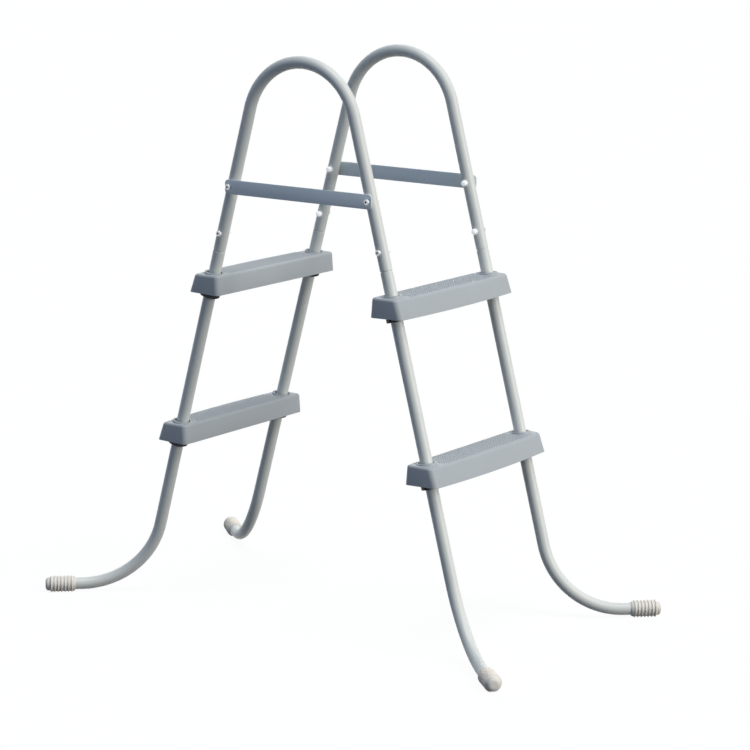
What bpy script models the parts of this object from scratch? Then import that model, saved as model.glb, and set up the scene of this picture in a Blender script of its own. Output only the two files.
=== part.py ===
"""Pool ladder that straddles the wall of an above-ground pool, as separate parts in metres.

+Z is up. The climber outside the pool stands on the -Y side and has the right rail at +X.
The origin is on the ground, under the middle of the ladder.
"""

import math

import bmesh
import bpy
from mathutils import Matrix, Vector

# Clearance between pieces that touch
FIT_GAP = 0.0003

# Fineness of the round shapes
TUBE_SIDES = 12
BOLT_SIDES = 10
KEY_SIDES = 6
ARC_STEP = math.radians(13.5)
BOW_SEGMENTS = 6
EDGE_SEGMENTS = 2
CORNER_SEGMENTS = 4
CROWN_STEPS = 2
DOME_STEPS = 3
ROUND_PROFILE = 0.5
SHARP_ANGLE = math.radians(35)
WELD_DISTANCE = 1e-6

# Steel tube of the handrails and legs
TUBE_DIAMETER = 0.025
TUBE_WALL = 0.0012

# Layout of the frame, built up from the ground
RAIL_SPACING = 0.340
LEG_SPREAD = 0.8174
LOWER_TREAD_HEIGHT = 0.378
TREAD_RISE = 0.321
SEAM_ABOVE_TREAD = 0.050
HANDRAIL_HEIGHT = 0.4035
ARCH_RADIUS = 0.132

# Foot end of a leg
BEND_RADIUS = 0.169
FOOT_SPLAY = math.radians(42.0)
TAIL_EXPOSED = 0.0145

# Spigot at the top of a leg
SPIGOT_LENGTH = 0.060
SHOULDER_LENGTH = 0.002
JOINT_BOLT_MARGIN = 0.0227

# Bolts and cap nuts
BRACE_BOLT_ABOVE_SEAM = 0.133
BOLT_DIAMETER = 0.006
HEAD_DIAMETER = 0.0127
HEAD_HEIGHT = 0.0055
HEAD_RIM = 0.002
HEAD_FLAT = 0.0064
KEY_WIDTH = 0.004
KEY_DEPTH = 0.003
THREAD_ENGAGEMENT = 0.0055
NUT_DIAMETER = 0.0116
NUT_HEIGHT = 0.010
NUT_RIM = 0.0055

# Brace bars
BRACE_WIDTH = 0.029
BRACE_THICKNESS = 0.0025
BRACE_END_MARGIN = 0.0095
BRACE_CORNER_RADIUS = 0.008

# Steps
TREAD_FRONT = 0.030
TREAD_BACK = 0.0295
STEP_HEIGHT = 0.040
FRONT_FLARE = 0.014
BACK_FLARE = 0.0025
END_FLARE = 0.001
FRONT_BOW = 0.009
STEP_WALL = 0.0025
STEP_EDGE_RADIUS = 0.005
STEP_CORNER_RADIUS = 0.010
STEP_END_MARGIN = 0.0105
STEP_RIB_COUNT = 3
STEP_RIB_THICKNESS = 0.002
STEP_RIB_RECESS = 0.010

# Sockets moulded in the steps, and the split bushes in them
BUSH_WALL = 0.0025
SOCKET_WALL = 0.0045
COLLAR_RISE = 0.003
COLLAR_TILT = math.radians(7.5)
BUSH_DEPTH = 0.022
BUSH_FLANGE = 0.009
BUSH_SLOT = 0.003
PEG_DIAMETER = 0.005
PEG_ABOVE_FLANGE = 0.010

# Foot caps
CAP_WALL = 0.00255
CAP_RIB_HEIGHT = 0.00195
CAP_RIB_COUNT = 7
CAP_RIB_PITCH = 0.0072
CAP_RIB_CREST = 0.0016
CAP_RIB_FOOT = 0.0024
CAP_LIP = 0.0035
CAP_NOSE = 0.0085
CAP_NOSE_STEP = 0.002
CAP_NOSE_RIM = 0.0042
CAP_NOSE_FLAT = 0.015
CAP_END_WALL = 0.015
SOLE_FLAT = 0.00075

# Sizes that follow from the ones above
TUBE_RADIUS = TUBE_DIAMETER / 2
FLAT_RATIO = math.cos(math.pi / TUBE_SIDES)
RAIL_X = RAIL_SPACING / 2
UPPER_TREAD_HEIGHT = LOWER_TREAD_HEIGHT + TREAD_RISE
SEAM_HEIGHT = UPPER_TREAD_HEIGHT + SEAM_ABOVE_TREAD
ARCH_CENTRE_HEIGHT = SEAM_HEIGHT + HANDRAIL_HEIGHT - TUBE_RADIUS - ARCH_RADIUS
LEG_LEAN = math.acos(ARCH_RADIUS / math.hypot(LEG_SPREAD / 2, ARCH_CENTRE_HEIGHT)) - math.atan2(
    ARCH_CENTRE_HEIGHT, LEG_SPREAD / 2
)
TANGENT_HEIGHT = ARCH_CENTRE_HEIGHT + ARCH_RADIUS * math.sin(LEG_LEAN)
JOINT_BOLT_HEIGHT = SEAM_HEIGHT + (SPIGOT_LENGTH - JOINT_BOLT_MARGIN) * math.cos(LEG_LEAN)
BRACE_BOLT_HEIGHT = SEAM_HEIGHT + BRACE_BOLT_ABOVE_SEAM
SLEEVE_RADIUS = (TUBE_RADIUS + FIT_GAP) / FLAT_RATIO
BORE_RADIUS = TUBE_RADIUS * FLAT_RATIO - TUBE_WALL
SPIGOT_RADIUS = BORE_RADIUS - FIT_GAP
BOLT_RADIUS = BOLT_DIAMETER / 2
BOLT_HOLE_RADIUS = BOLT_RADIUS + FIT_GAP
BRACE_X = TUBE_RADIUS + FIT_GAP + BRACE_THICKNESS / 2
BUSH_RADIUS = SLEEVE_RADIUS + BUSH_WALL
SOCKET_BORE_RADIUS = BUSH_RADIUS + FIT_GAP
SOCKET_RADIUS = SOCKET_BORE_RADIUS + SOCKET_WALL
SOCKET_BOTTOM = -STEP_HEIGHT / math.cos(LEG_LEAN)
FLANGE_TOP = SOCKET_BOTTOM - FIT_GAP
PEG_POSITION = FLANGE_TOP + PEG_ABOVE_FLANGE
PEG_HOLE_RADIUS = PEG_DIAMETER / 2 + FIT_GAP
STEP_HALF_LENGTH = RAIL_X + SOCKET_RADIUS + STEP_END_MARGIN
STEP_RIB_PITCH = RAIL_SPACING / (STEP_RIB_COUNT + 1)
CAP_CORE_RADIUS = SLEEVE_RADIUS + CAP_WALL
CAP_RIB_RADIUS = CAP_CORE_RADIUS + CAP_RIB_HEIGHT
CAP_LENGTH = CAP_LIP + CAP_RIB_COUNT * CAP_RIB_PITCH + CAP_NOSE
CAP_BORE_DEPTH = CAP_LENGTH - CAP_END_WALL
FOOT_HEIGHT = CAP_RIB_RADIUS * FLAT_RATIO - SOLE_FLAT
CUT_REACH = 4 * TUBE_DIAMETER

LEFT, RIGHT = -1, 1
OUTER, INNER = -1, 1
CORNERS = [(OUTER, LEFT), (OUTER, RIGHT), (INNER, LEFT), (INNER, RIGHT)]
WORDS = {OUTER: "outer", INNER: "inner"}
HANDS = {LEFT: "left", RIGHT: "right"}


def clear_scene():
    """Remove every object that the scene starts with."""
    for scene_object in list(bpy.data.objects):
        bpy.data.objects.remove(scene_object, do_unlink=True)


def add_collection(name):
    """Add a collection to the scene."""
    collection = bpy.data.collections.new(name)
    bpy.context.scene.collection.children.link(collection)
    return collection


def add_finish(name, red, green, blue, roughness, metallic=0.0):
    """Make a plain material from an 8-bit sRGB colour."""
    linear = [(channel / 255) ** 2.2 for channel in (red, green, blue)]
    finish = bpy.data.materials.new(name)
    finish.use_nodes = True
    shader = finish.node_tree.nodes["Principled BSDF"]
    shader.inputs["Base Color"].default_value = (*linear, 1.0)
    shader.inputs["Roughness"].default_value = roughness
    shader.inputs["Metallic"].default_value = metallic
    return finish


clear_scene()
LADDER = add_collection("pool_ladder")
CUTTERS = add_collection("cutters")
TUBE_PAINT = add_finish("tube_paint", 206, 206, 201, 0.35)
STEP_PLASTIC = add_finish("step_plastic", 174, 180, 184, 0.55)
BRACE_PAINT = add_finish("brace_paint", 194, 199, 202, 0.5)
BOLT_ZINC = add_finish("bolt_zinc", 200, 200, 200, 0.35, 1.0)
NUT_PLASTIC = add_finish("nut_plastic", 240, 240, 238, 0.4)
BUSH_PLASTIC = add_finish("bush_plastic", 40, 43, 48, 0.6)
CAP_PLASTIC = add_finish("cap_plastic", 222, 219, 206, 0.5)


def new_object(name, mesh, collection):
    """Put a mesh in a collection under a name."""
    made = bpy.data.objects.new(name, mesh)
    collection.objects.link(made)
    return made


def new_tool(name, mesh):
    """Make a mesh a tool for cutting or joining, and not a part."""
    made = new_object(name, mesh, CUTTERS)
    made.hide_render = True
    made.display_type = "WIRE"
    return made


def new_mesh(name, shape):
    """Turn a working shape into a mesh."""
    mesh = bpy.data.meshes.new(name)
    shape.to_mesh(mesh)
    shape.free()
    return mesh


def finished_mesh(made):
    """Return an object's mesh with its modifiers applied, and remove the object."""
    bpy.context.view_layer.update()
    evaluated = made.evaluated_get(bpy.context.evaluated_depsgraph_get())
    mesh = bpy.data.meshes.new_from_object(evaluated)
    shape = bmesh.new()
    shape.from_mesh(mesh)
    bmesh.ops.remove_doubles(shape, verts=shape.verts, dist=WELD_DISTANCE)
    shape.to_mesh(mesh)
    shape.free()
    bpy.data.objects.remove(made, do_unlink=True)
    return mesh


def apply_boolean(made, tool, operation):
    """Cut an object with a tool, or join the tool to it."""
    boolean = made.modifiers.new(tool.name, "BOOLEAN")
    boolean.operation = operation
    boolean.solver = "EXACT"
    boolean.object = tool


def cylinder(name, radius, low, high, sides):
    """Make a cylinder tool along Z between two heights, with its first corner towards X."""
    shape = bmesh.new()
    bmesh.ops.create_cone(
        shape,
        cap_ends=True,
        segments=sides,
        radius1=radius,
        radius2=radius,
        depth=high - low,
        matrix=Matrix.Translation((0, 0, (low + high) / 2)) @ Matrix.Rotation(-math.pi / 2, 4, "Z"),
    )
    return new_tool(name, new_mesh(name, shape))


def box(low, high):
    """Make a working box between two corners."""
    low, high = Vector(low), Vector(high)
    place = Matrix.LocRotScale((low + high) / 2, None, high - low)
    shape = bmesh.new()
    bmesh.ops.create_cube(shape, size=1.0, matrix=place)
    return shape


def box_tool(name, low, high):
    """Make a box tool between two corners."""
    return new_tool(name, new_mesh(name, box(low, high)))


def edges_along(shape, axis):
    """Edges of a working box that run along one axis."""
    return [edge for edge in shape.edges if edge.verts[0].co[axis] != edge.verts[1].co[axis]]


def round_edges(shape, edges, radius, segments):
    """Round some edges of a working shape."""
    bmesh.ops.bevel(
        shape,
        geom=edges,
        offset=radius,
        segments=segments,
        profile=ROUND_PROFILE,
        affect="EDGES",
        material=-1,
    )


def turned(name, profile, sides, closed=False):
    """Turn a profile of (radius, height) points about Z."""
    count = len(profile)
    edges = [(index, index + 1) for index in range(count - 1)]
    if closed:
        edges.append((count - 1, 0))
    mesh = bpy.data.meshes.new(name)
    mesh.from_pydata([(radius, 0.0, height) for radius, height in profile], edges, [])
    made = new_object(name, mesh, LADDER)
    screw = made.modifiers.new("turn", "SCREW")
    screw.axis = "Z"
    screw.steps = sides
    screw.render_steps = sides
    screw.use_merge_vertices = True
    screw.merge_threshold = WELD_DISTANCE
    return made


def quarter_dome(radius, top_radius, rim, height, steps):
    """Points down a rounded crown, from its flat top to the edge of its rim."""
    angles = [math.pi / 2 * index / steps for index in range(steps + 1)]
    return [
        (top_radius + (radius - top_radius) * math.sin(angle), rim + (height - rim) * math.cos(angle))
        for angle in angles
    ]


def laid_along_x(mesh, way=1, sides=BOLT_SIDES):
    """Turn a round mesh that stands on Z so that it points along X, with a flat of its rim upwards."""
    half_side = Matrix.Rotation(math.pi / sides, 4, "Z")
    mesh.transform(Matrix.Rotation(way * math.pi / 2, 4, "Y") @ half_side)
    return mesh


def add_part(name, mesh, finish, location=(0, 0, 0), rotation=(0, 0, 0)):
    """Place one piece of the ladder."""
    if finish.name not in mesh.materials:
        mesh.materials.clear()
        mesh.materials.append(finish)
        mesh.shade_smooth()
        mesh.set_sharp_from_angle(angle=SHARP_ANGLE)
    made = new_object(name, mesh, LADDER)
    made.location = location
    made.rotation_euler = rotation
    return made


def leg_offset(height):
    """Distance of a leg's axis from the middle plane at a height."""
    return ARCH_RADIUS * math.cos(LEG_LEAN) + (TANGENT_HEIGHT - height) * math.tan(LEG_LEAN)


def rail_station(height):
    """Distance from the middle plane, and lean, of a handrail's axis at a height."""
    if height <= TANGENT_HEIGHT:
        return leg_offset(height), LEG_LEAN
    rise = height - ARCH_CENTRE_HEIGHT
    return math.sqrt(ARCH_RADIUS**2 - rise**2), math.asin(rise / ARCH_RADIUS)


def on_rail(row, hand, height):
    """Location and rotation of a piece that sits on a rail's axis.

    Its local Z runs up the tube and its local X points away from the middle of the ladder.
    """
    offset, lean = rail_station(height)
    turn = 0 if hand == RIGHT else math.pi
    return (hand * RAIL_X, row * offset, height), (row * hand * lean, 0, turn)


def arc_steps(angle):
    """Number of straight runs that stand for an arc."""
    return math.ceil(angle / ARC_STEP)


def tube(name, stations):
    """Make an open tube along stations, each a point of its axis and its outer radius."""
    curve = bpy.data.curves.new(name, "CURVE")
    curve.dimensions = "3D"
    curve.bevel_depth = TUBE_RADIUS
    curve.bevel_resolution = TUBE_SIDES // 2 - 2
    spline = curve.splines.new("POLY")
    spline.points.add(len(stations) - 1)
    for point, (place, radius) in zip(spline.points, stations):
        point.co = (*place, 1.0)
        point.radius = radius / TUBE_RADIUS
    axis = new_object(name + "_axis", curve, LADDER)
    made = new_object(name, finished_mesh(axis), LADDER)
    wall = made.modifiers.new("wall", "SOLIDIFY")
    wall.thickness = TUBE_WALL
    wall.offset = -1.0
    wall.use_even_offset = True
    return made


def drill(made, name, location, rotation, radius, low=-CUT_REACH, high=CUT_REACH):
    """Drill a hole along the local X of a place on a tube."""
    tool = cylinder(name, radius, low, high, BOLT_SIDES)
    laid_along_x(tool.data)
    tool.location = location
    tool.rotation_euler = rotation
    apply_boolean(made, tool, "DIFFERENCE")


def handrail_mesh():
    """Arch of tube with straight legs, drilled for the brace bolts and joint bolts."""
    half_sweep = math.pi / 2 - LEG_LEAN
    steps = arc_steps(2 * half_sweep)
    stations = [(Vector((0, -leg_offset(SEAM_HEIGHT), SEAM_HEIGHT)), TUBE_RADIUS)]
    for index in range(steps + 1):
        angle = half_sweep * (2 * index / steps - 1)
        point = Vector((0, math.sin(angle), math.cos(angle))) * ARCH_RADIUS
        stations.append((point + Vector((0, 0, ARCH_CENTRE_HEIGHT)), TUBE_RADIUS))
    stations.append((Vector((0, leg_offset(SEAM_HEIGHT), SEAM_HEIGHT)), TUBE_RADIUS))
    made = tube("handrail", stations)
    for row in (OUTER, INNER):
        for height, use in ((JOINT_BOLT_HEIGHT, "joint"), (BRACE_BOLT_HEIGHT, "brace")):
            (_, offset, _), rotation = on_rail(row, RIGHT, height)
            name = f"handrail_{use}_drill_{WORDS[row]}"
            drill(made, name, (0, offset, height), rotation, BOLT_HOLE_RADIUS)
    return finished_mesh(made)


def leg_axis_point(along, height):
    """Point on an outer leg's axis, a distance up the tube from a height."""
    up = Vector((0, math.sin(LEG_LEAN), math.cos(LEG_LEAN)))
    return Vector((0, -leg_offset(height), height)) + up * along


def foot_direction(row, hand):
    """Direction in which a foot points."""
    return Vector((hand * math.sin(FOOT_SPLAY), row * math.cos(FOOT_SPLAY), 0))


def foot_bend(hand):
    """Axis points of an outer leg's bottom bend, from its start to its end."""
    down = Vector((0, -math.sin(LEG_LEAN), -math.cos(LEG_LEAN)))
    out = foot_direction(OUTER, hand)
    sweep = down.angle(out)
    across = (out - down * down.dot(out)).normalized()
    corner = Vector((0, -leg_offset(FOOT_HEIGHT), FOOT_HEIGHT))
    start = corner - down * BEND_RADIUS * math.tan(sweep / 2)
    steps = arc_steps(sweep)
    points = []
    for index in range(steps + 1):
        angle = sweep * index / steps
        points.append(start + BEND_RADIUS * (across * (1 - math.cos(angle)) + down * math.sin(angle)))
    return points


def cap_entry(hand):
    """Point on an outer leg's axis where its foot cap begins."""
    return foot_bend(hand)[-1] + foot_direction(OUTER, hand) * TAIL_EXPOSED


def leg_mesh(hand):
    """J-bent leg with a swaged spigot, for the outer side of one rail."""
    shoulder = -FIT_GAP - SHOULDER_LENGTH
    stations = [
        (leg_axis_point(SPIGOT_LENGTH, SEAM_HEIGHT), SPIGOT_RADIUS),
        (leg_axis_point(-FIT_GAP, SEAM_HEIGHT), SPIGOT_RADIUS),
        (leg_axis_point(shoulder, SEAM_HEIGHT), TUBE_RADIUS),
    ]
    stations += [(point, TUBE_RADIUS) for point in foot_bend(hand)]
    tail = cap_entry(hand) + foot_direction(OUTER, hand) * (CAP_BORE_DEPTH - FIT_GAP)
    stations.append((tail, TUBE_RADIUS))
    made = tube(f"leg_{HANDS[hand]}", stations)
    (_, offset, _), rotation = on_rail(OUTER, RIGHT, JOINT_BOLT_HEIGHT)
    place = (0, offset, JOINT_BOLT_HEIGHT)
    drill(made, f"spigot_drill_{HANDS[hand]}", place, rotation, BOLT_HOLE_RADIUS)
    low, high = sorted((0.0, -hand * CUT_REACH))
    for height in (LOWER_TREAD_HEIGHT, UPPER_TREAD_HEIGHT):
        place = leg_axis_point(PEG_POSITION, height)
        drill(made, f"peg_drill_{HANDS[hand]}", place, rotation, PEG_HOLE_RADIUS, low, high)
    return finished_mesh(made)


def step_outline(along, depth):
    """Distances of a step's front and back faces from the leg's axis, at a place and a depth."""
    flare = depth / STEP_HEIGHT
    bow = FRONT_BOW * (1 - (along / STEP_HALF_LENGTH) ** 2)
    return TREAD_FRONT + FRONT_FLARE * flare + bow, TREAD_BACK + BACK_FLARE * flare


def step_shell():
    """Outer skin of a step, open underneath, with rounded corners and rim and an even wall."""
    shape = box((-STEP_HALF_LENGTH, -TREAD_FRONT, -STEP_HEIGHT), (STEP_HALF_LENGTH, TREAD_BACK, 0))
    corners = edges_along(shape, 2)
    lengthwise = edges_along(shape, 0)
    bmesh.ops.subdivide_edges(shape, edges=lengthwise, cuts=BOW_SEGMENTS - 1, use_grid_fill=True)
    underside = [face for face in shape.faces if all(vertex.co.z < 0 for vertex in face.verts)]
    bmesh.ops.delete(shape, geom=underside, context="FACES")
    for vertex in shape.verts:
        depth = -vertex.co.z
        taper = 1 - END_FLARE / STEP_HALF_LENGTH * (1 - depth / STEP_HEIGHT)
        front, back = step_outline(vertex.co.x * taper, depth)
        vertex.co = (vertex.co.x * taper, -front if vertex.co.y < 0 else back, -depth)
    round_edges(shape, corners, STEP_CORNER_RADIUS, CORNER_SEGMENTS)
    tread = [face for face in shape.faces if all(vertex.co.z > -WELD_DISTANCE for vertex in face.verts)]
    edges = [edge for face in tread for edge in face.edges]
    rim = [edge for edge in edges if not all(face in tread for face in edge.link_faces)]
    round_edges(shape, rim, STEP_EDGE_RADIUS, EDGE_SEGMENTS)
    made = new_object("step", new_mesh("step", shape), LADDER)
    wall = made.modifiers.new("wall", "SOLIDIFY")
    wall.thickness = STEP_WALL
    wall.offset = -1.0
    wall.use_even_offset = True
    return made


def step_rib(index):
    """Cross rib tool that reaches half way into the walls of a step."""
    sink = STEP_WALL / 2
    half = STEP_RIB_THICKNESS / 2
    middle = (index + 1) * STEP_RIB_PITCH - RAIL_X
    low = (middle - half, -TREAD_FRONT, STEP_RIB_RECESS - STEP_HEIGHT)
    shape = box(low, (middle + half, TREAD_BACK, -sink))
    for vertex in shape.verts:
        front, back = step_outline(middle, -vertex.co.z)
        vertex.co.y = sink - front if vertex.co.y < 0 else back - sink
    name = f"step_rib_{index + 1}"
    return new_tool(name, new_mesh(name, shape))


def socket_tool(use, hand, radius, low, high):
    """Round tool in line with a leg, with its top at the collar's tilt to the tread."""
    tool = cylinder(f"step_{use}_{HANDS[hand]}", radius, low, high, TUBE_SIDES)
    slope = math.tan(LEG_LEAN - COLLAR_TILT)
    for vertex in tool.data.vertices:
        if vertex.co.z > 0:
            vertex.co.z += slope * vertex.co.y
    tool.location.x = hand * RAIL_X
    tool.rotation_euler.x = -LEG_LEAN
    return tool


def step_mesh():
    """Step shell with cross ribs and two sockets in line with the legs."""
    made = step_shell()
    for index in range(STEP_RIB_COUNT):
        apply_boolean(made, step_rib(index), "UNION")
    for use, radius, low, high, operation in (
        ("socket", SOCKET_RADIUS, SOCKET_BOTTOM, COLLAR_RISE, "UNION"),
        ("socket_bore", SOCKET_BORE_RADIUS, -CUT_REACH, CUT_REACH, "DIFFERENCE"),
    ):
        for hand in (LEFT, RIGHT):
            apply_boolean(made, socket_tool(use, hand, radius, low, high), operation)
    return finished_mesh(made)


def bush_mesh():
    """Split flanged bush with a peg that keys into the leg, its socket's top at the origin's height."""
    top = FLANGE_TOP + BUSH_DEPTH
    bottom = FLANGE_TOP - BUSH_FLANGE
    profile = [
        (SLEEVE_RADIUS, top),
        (BUSH_RADIUS, top),
        (BUSH_RADIUS, FLANGE_TOP),
        (SOCKET_RADIUS, FLANGE_TOP),
        (SOCKET_RADIUS, bottom),
        (SLEEVE_RADIUS, bottom),
    ]
    made = turned("step_bush", profile, TUBE_SIDES, closed=True)
    root = SLEEVE_RADIUS + BUSH_WALL / 2
    peg = cylinder("bush_peg", PEG_DIAMETER / 2, BORE_RADIUS, root, BOLT_SIDES)
    laid_along_x(peg.data, -1)
    peg.location.z = PEG_POSITION
    apply_boolean(made, peg, "UNION")
    slot = box_tool("bush_slot", (0, -BUSH_SLOT / 2, -CUT_REACH), (CUT_REACH, BUSH_SLOT / 2, CUT_REACH))
    apply_boolean(made, slot, "DIFFERENCE")
    return finished_mesh(made)


def bolt_mesh(use, grip):
    """Bolt whose head seats a grip away from the tube's axis, with a hexagon key recess."""
    head_radius = HEAD_DIAMETER / 2
    head_top = grip + HEAD_HEIGHT
    crown = quarter_dome(head_radius, HEAD_FLAT / 2, HEAD_RIM, HEAD_HEIGHT, CROWN_STEPS)
    tip = -(TUBE_RADIUS + THREAD_ENGAGEMENT)
    profile = [(0, head_top)]
    profile += [(radius, grip + height) for radius, height in crown]
    profile += [(head_radius, grip), (BOLT_RADIUS, grip), (BOLT_RADIUS, tip), (0, tip)]
    made = turned(use + "_bolt", profile, BOLT_SIDES)
    key_radius = KEY_WIDTH / 2 / math.cos(math.pi / KEY_SIDES)
    recess = cylinder(use + "_key_recess", key_radius, head_top - KEY_DEPTH, CUT_REACH, KEY_SIDES)
    apply_boolean(made, recess, "DIFFERENCE")
    return laid_along_x(finished_mesh(made))


def nut_mesh():
    """Dome cap nut with a blind bore, its base hollowed to sit on the tube."""
    radius = NUT_DIAMETER / 2
    seat = TUBE_RADIUS + FIT_GAP
    crown = quarter_dome(radius, 0.0, NUT_RIM, NUT_HEIGHT, DOME_STEPS)
    bore_end = TUBE_RADIUS + THREAD_ENGAGEMENT + FIT_GAP
    skirt = math.sqrt(SLEEVE_RADIUS**2 - radius**2)
    profile = [(across, seat + height) for across, height in crown]
    profile += [(radius, skirt), (BOLT_HOLE_RADIUS, skirt)]
    profile += [(BOLT_HOLE_RADIUS, bore_end), (0, bore_end)]
    made = turned("cap_nut", profile, BOLT_SIDES)
    made = new_object("cap_nut", laid_along_x(finished_mesh(made), -1), LADDER)
    saddle = cylinder("nut_saddle", SLEEVE_RADIUS, -CUT_REACH, CUT_REACH, TUBE_SIDES)
    apply_boolean(made, saddle, "DIFFERENCE")
    return finished_mesh(made)


def brace_mesh():
    """Flat bar with rounded corners and a bolt hole at each end."""
    offset, _ = rail_station(BRACE_BOLT_HEIGHT)
    half = Vector((BRACE_THICKNESS / 2, offset + BRACE_END_MARGIN, BRACE_WIDTH / 2))
    shape = box(-half, half)
    round_edges(shape, edges_along(shape, 0), BRACE_CORNER_RADIUS, CORNER_SEGMENTS)
    made = new_object("brace_bar", new_mesh("brace_bar", shape), LADDER)
    for row in (OUTER, INNER):
        rotation = on_rail(row, RIGHT, BRACE_BOLT_HEIGHT)[1]
        drill(made, f"brace_drill_{WORDS[row]}", (0, row * offset, 0), rotation, BOLT_HOLE_RADIUS)
    return finished_mesh(made)


def cap_mesh():
    """Ribbed foot cap along X from its mouth, with its ribs cut flat underneath."""
    nose_start = CAP_LENGTH - CAP_NOSE
    nose_radius = CAP_CORE_RADIUS - CAP_NOSE_STEP
    nose = quarter_dome(nose_radius, CAP_NOSE_FLAT / 2, CAP_NOSE_RIM, CAP_NOSE, CROWN_STEPS)
    profile = [(0, CAP_LENGTH)]
    profile += [(radius, nose_start + height) for radius, height in nose]
    profile.append((nose_radius, nose_start))
    for index in reversed(range(CAP_RIB_COUNT)):
        middle = CAP_LIP + (index + 0.5) * CAP_RIB_PITCH
        profile += [
            (CAP_CORE_RADIUS, middle + CAP_RIB_FOOT / 2),
            (CAP_RIB_RADIUS, middle + CAP_RIB_CREST / 2),
            (CAP_RIB_RADIUS, middle - CAP_RIB_CREST / 2),
            (CAP_CORE_RADIUS, middle - CAP_RIB_FOOT / 2),
        ]
    profile += [
        (CAP_CORE_RADIUS, 0),
        (SLEEVE_RADIUS, 0),
        (SLEEVE_RADIUS, CAP_BORE_DEPTH),
        (0, CAP_BORE_DEPTH),
    ]
    made = turned("foot_cap", profile, TUBE_SIDES)
    made = new_object("foot_cap", laid_along_x(finished_mesh(made), sides=TUBE_SIDES), LADDER)
    reach = Vector((CUT_REACH, CUT_REACH, 0))
    ground = box_tool("ground", Vector((0, 0, -CUT_REACH)) - reach, Vector((0, 0, -FOOT_HEIGHT)) + reach)
    apply_boolean(made, ground, "DIFFERENCE")
    return finished_mesh(made)


def add_rails():
    """Place the handrails, the brace bars and their bolts and nuts."""
    handrail = handrail_mesh()
    brace = brace_mesh()
    joint_bolt = bolt_mesh("joint", TUBE_RADIUS + FIT_GAP)
    brace_bolt = bolt_mesh("brace", BRACE_X + BRACE_THICKNESS / 2 + FIT_GAP)
    nut = nut_mesh()
    for hand in (LEFT, RIGHT):
        add_part(f"handrail_{HANDS[hand]}", handrail, TUBE_PAINT, (hand * RAIL_X, 0, 0))
        place = (hand * (RAIL_X + BRACE_X), 0, BRACE_BOLT_HEIGHT)
        add_part(f"brace_bar_{HANDS[hand]}", brace, BRACE_PAINT, place)
    for row, hand in CORNERS:
        corner = f"{WORDS[row]}_{HANDS[hand]}"
        for use, bolt, height in (
            ("joint", joint_bolt, JOINT_BOLT_HEIGHT),
            ("brace", brace_bolt, BRACE_BOLT_HEIGHT),
        ):
            place, rotation = on_rail(row, hand, height)
            add_part(f"{use}_bolt_{corner}", bolt, BOLT_ZINC, place, rotation)
            add_part(f"{use}_cap_nut_{corner}", nut, NUT_PLASTIC, place, rotation)


def add_legs():
    """Place the legs and their foot caps."""
    legs = {hand: leg_mesh(hand) for hand in (LEFT, RIGHT)}
    cap = cap_mesh()
    for row, hand in CORNERS:
        corner = f"{WORDS[row]}_{HANDS[hand]}"
        turn = Matrix.Rotation(0 if row == OUTER else math.pi, 4, "Z")
        bend = hand if row == OUTER else -hand
        place = Vector((hand * RAIL_X, 0, 0))
        add_part(f"leg_{corner}", legs[bend], TUBE_PAINT, place, turn.to_euler())
        out = foot_direction(row, hand)
        heading = (0, 0, math.atan2(out.y, out.x))
        add_part(f"foot_cap_{corner}", cap, CAP_PLASTIC, place + turn @ cap_entry(bend), heading)


def add_steps():
    """Place the steps and the bushes that hold them on the legs."""
    step = step_mesh()
    bush = bush_mesh()
    for level, height in (("lower", LOWER_TREAD_HEIGHT), ("upper", UPPER_TREAD_HEIGHT)):
        for row in (OUTER, INNER):
            place = (0, row * leg_offset(height), height)
            turn = (0, 0, 0 if row == OUTER else math.pi)
            add_part(f"{level}_step_{WORDS[row]}", step, STEP_PLASTIC, place, turn)
        for row, hand in CORNERS:
            corner = f"{WORDS[row]}_{HANDS[hand]}"
            add_part(f"{level}_step_bush_{corner}", bush, BUSH_PLASTIC, *on_rail(row, hand, height))


add_rails()
add_legs()
add_steps()
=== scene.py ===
"""Dressed model of a pool ladder: smooth tube, moulded steps and fittings on its packed frame.

Metres, +Z up. The climber outside the pool stands on the -Y side and has the right rail at +X.
"""

import math

import bmesh
import bpy
from bpy.props import FloatProperty, FloatVectorProperty, IntProperty, PointerProperty
from mathutils import Euler, Matrix, Vector


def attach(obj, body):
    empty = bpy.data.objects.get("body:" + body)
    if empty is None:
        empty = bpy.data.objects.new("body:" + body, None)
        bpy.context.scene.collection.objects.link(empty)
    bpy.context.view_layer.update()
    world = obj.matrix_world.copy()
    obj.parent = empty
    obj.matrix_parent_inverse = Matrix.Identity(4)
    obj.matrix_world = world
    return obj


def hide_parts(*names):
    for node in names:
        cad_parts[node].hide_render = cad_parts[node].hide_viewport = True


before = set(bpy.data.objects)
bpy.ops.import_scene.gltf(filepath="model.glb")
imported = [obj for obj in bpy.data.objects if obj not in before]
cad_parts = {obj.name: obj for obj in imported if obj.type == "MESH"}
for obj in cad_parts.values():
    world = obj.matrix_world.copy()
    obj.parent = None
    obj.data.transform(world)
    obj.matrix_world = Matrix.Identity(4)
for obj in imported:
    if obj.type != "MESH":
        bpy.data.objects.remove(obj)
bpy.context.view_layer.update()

bl_info = {
    "name": "Pool Ladder",
    "version": (1, 0, 0),
    "blender": (4, 5, 0),
    "location": "View3D > Sidebar > Ladder",
    "description": "Builds the visible pieces of a pool ladder on its packed frame",
    "category": "Add Mesh",
}

MILLIMETRE = 0.001
WHITE = (1.0, 1.0, 1.0, 1.0)

LEFT, RIGHT = -1, 1
OUTER, INNER = -1, 1
HANDS = {LEFT: "left", RIGHT: "right"}
ROWS = {OUTER: "outer", INNER: "inner"}
CORNERS = {(row, hand): f"{ROWS[row]}_{HANDS[hand]}" for row in ROWS for hand in HANDS}

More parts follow.
